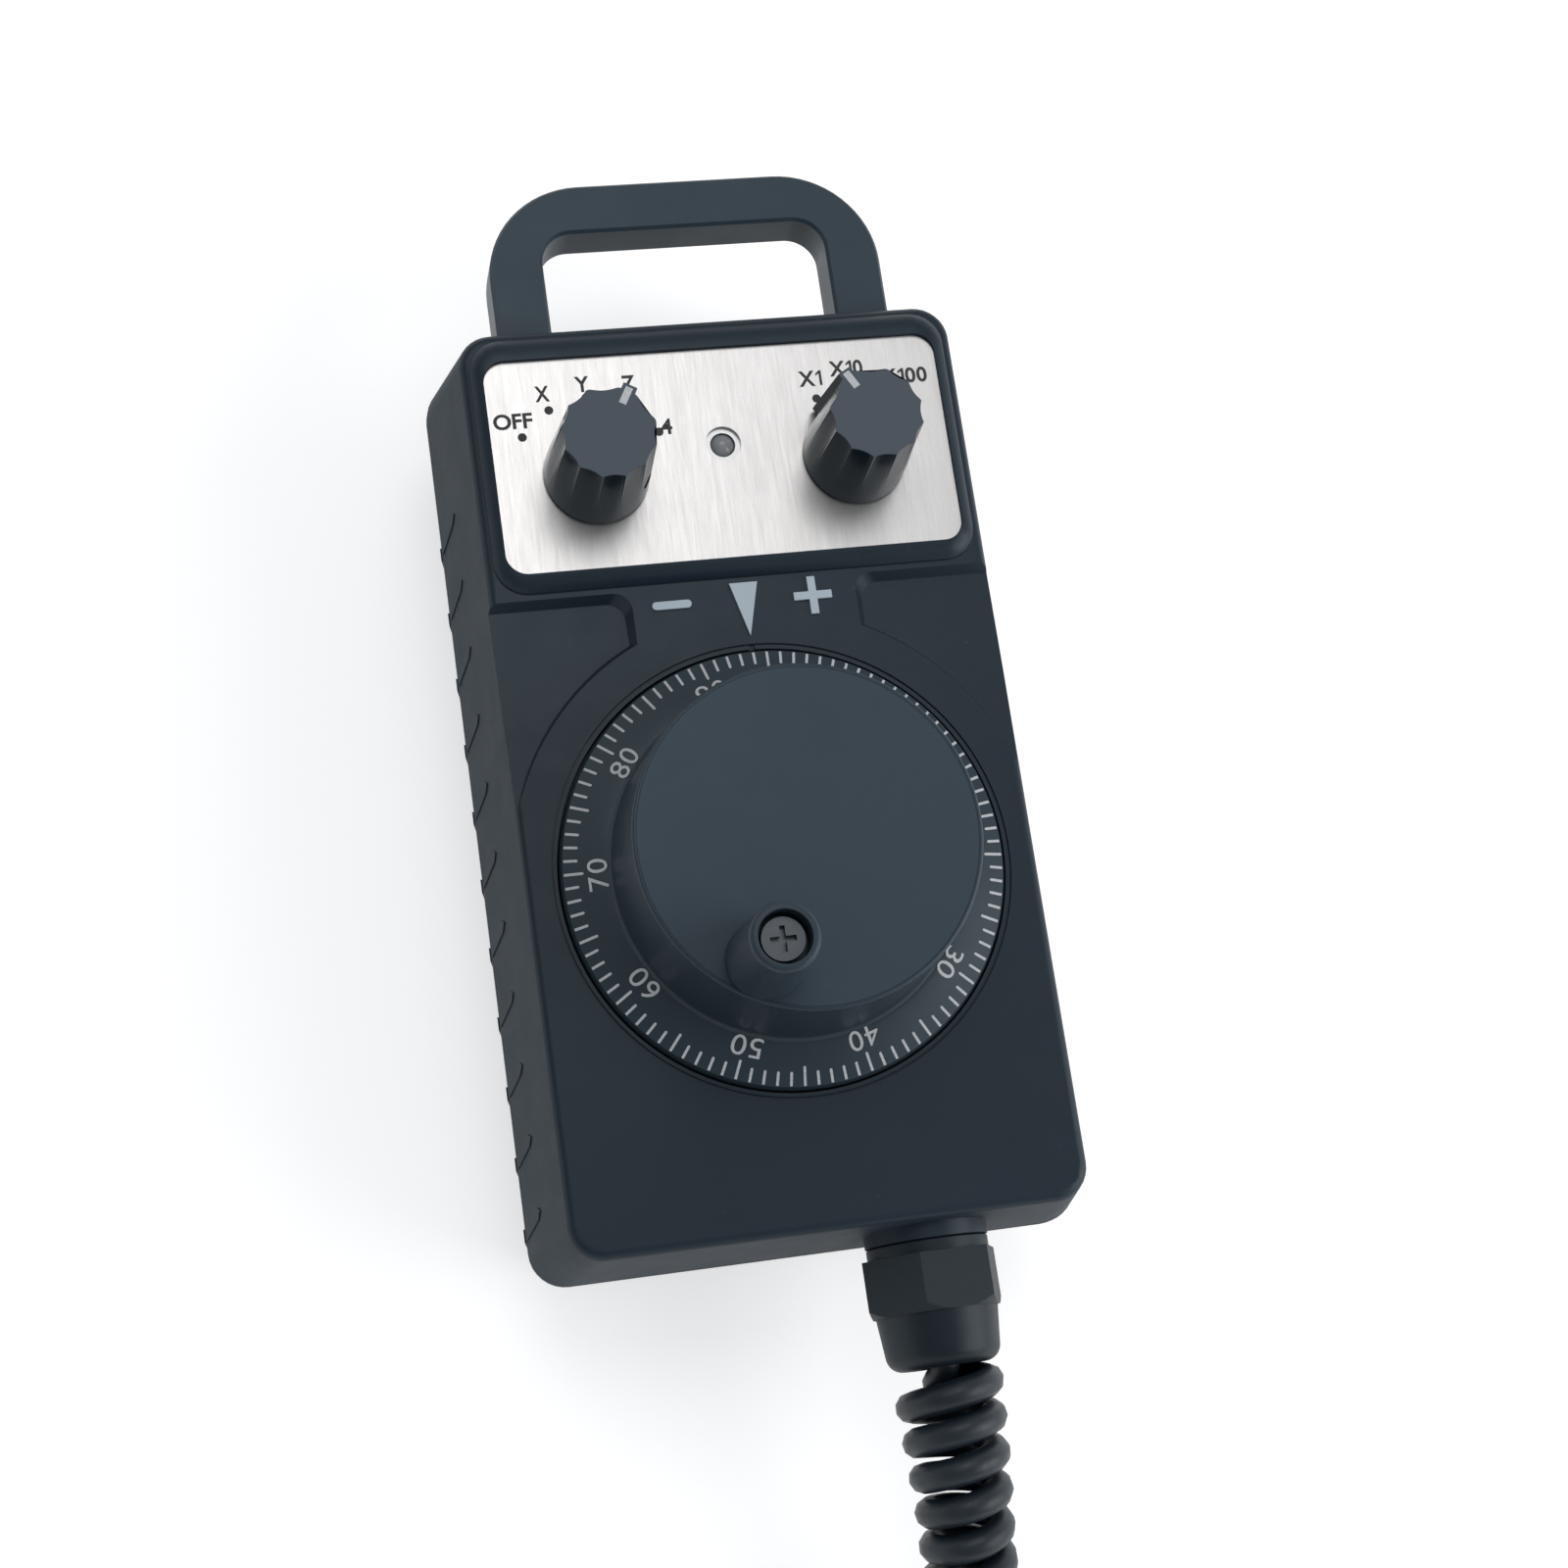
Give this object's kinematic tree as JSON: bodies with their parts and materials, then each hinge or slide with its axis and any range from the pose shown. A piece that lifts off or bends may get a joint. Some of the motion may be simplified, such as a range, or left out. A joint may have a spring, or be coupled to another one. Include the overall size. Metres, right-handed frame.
{
  "type": "pulse generator handwheel",
  "caption": "Hand-held pulse generator handwheel for a machine control: pendant with hanging loop, graduated dial and finger crank, two selector knobs, lamp, curly cord and round plug.",
  "frame": {"origin": "on the back face of the housing, straight under the axis of the handwheel", "axes": "+Z is the outward normal of the face, +Y points to the hanging loop, +X to the right seen from the front"},
  "size_m": [0.0764, 0.3993, 0.0741],
  "materials": {
    "housing_plastic": "satin",
    "loop_plastic": "satin",
    "plate_metal": "brushed and anodised",
    "mark_print": "matte",
    "knob_gloss": "gloss",
    "white_print": "matte",
    "steel": "plain",
    "dark_steel": "blackened",
    "black_plastic": "satin",
    "lamp_lens": "milky",
    "dial_plastic": "satin",
    "cap_plastic": "satin",
    "brass": "plain",
    "encoder_aluminium": "plain",
    "disc_metal": "etched",
    "circuit_board": "satin",
    "terminal_plastic": "satin",
    "gland_plastic": "satin",
    "black_rubber": "matte",
    "cord_jacket": "satin",
    "tie_fabric": "woven",
    "plug_metal": "nickel plated"
  },
  "bodies": {
    "pendant": {"front_housing": "housing_plastic", "rear_housing": "housing_plastic", "housing_gasket": "black_rubber", "housing_screws": "steel", "carry_handle": "loop_plastic", "face_plate": "plate_metal", "minus_mark": "mark_print", "pointer_mark": "mark_print", "plus_mark": "mark_print", "axis_switch": "black_plastic", "axis_switch_nut": "steel", "multiplier_switch": "black_plastic", "multiplier_switch_nut": "steel", "led_lens": "lamp_lens", "led_holder": "black_plastic", "dial_seal": "black_rubber", "encoder_bearings": "steel", "encoder_body": "encoder_aluminium", "encoder_cover": "encoder_aluminium", "encoder_screws": "steel", "optical_sensor": "black_plastic", "encoder_board": "circuit_board", "detent_spring": "steel", "main_board": "circuit_board", "board_screws": "steel", "terminal_block": "terminal_plastic", "gland_body": "gland_plastic", "gland_nut": "gland_plastic", "gland_seal": "black_rubber", "gland_locknut": "gland_plastic", "cord_lead": "cord_jacket", "coil_cord": "cord_jacket", "cord_tail": "cord_jacket", "cord_tie": "tie_fabric", "plug_body": "plug_metal", "plug_insert": "black_plastic"},
    "handwheel": {"handwheel_dial": "dial_plastic", "dial_cap": "cap_plastic", "dial_screw": "steel", "grip_bush": "brass", "grip_screw": "dark_steel", "encoder_shaft": "steel", "code_disc": "disc_metal", "detent_wheel": "steel"},
    "grip": {"crank_grip": "dial_plastic"},
    "axis_selector": {"axis_knob": "knob_gloss", "axis_knob_line": "white_print", "axis_knob_screw": "dark_steel", "axis_shaft": "steel"},
    "multiplier_selector": {"multiplier_knob": "knob_gloss", "multiplier_knob_line": "white_print", "multiplier_knob_screw": "dark_steel", "multiplier_shaft": "steel"},
    "plug_coupling": {"plug_ring": "plug_metal"}
  },
  "joints": [
    {"name": "dial_spin", "type": "hinge", "parent": "pendant", "child": "handwheel", "pos_m": [0, 0, 0.04], "axis": [0, 0, 1], "continuous": true},
    {"name": "grip_spin", "type": "hinge", "parent": "handwheel", "child": "grip", "pos_m": [-0.00808, -0.01552, 0.06], "axis": [0, 0, 1], "continuous": true},
    {"name": "axis_select", "type": "hinge", "parent": "pendant", "child": "axis_selector", "pos_m": [-0.0181, 0.0567, 0.045], "axis": [0, 0, 1], "range_deg": [-30, 90]},
    {"name": "multiplier_select", "type": "hinge", "parent": "pendant", "child": "multiplier_selector", "pos_m": [0.0181, 0.0567, 0.045], "axis": [0, 0, 1], "range_deg": [-60, 0]},
    {"name": "plug_ring_spin", "type": "hinge", "parent": "pendant", "child": "plug_coupling", "pos_m": [0.01, -0.287, 0.0098], "axis": [1, 0, 0], "continuous": true}
  ]
}
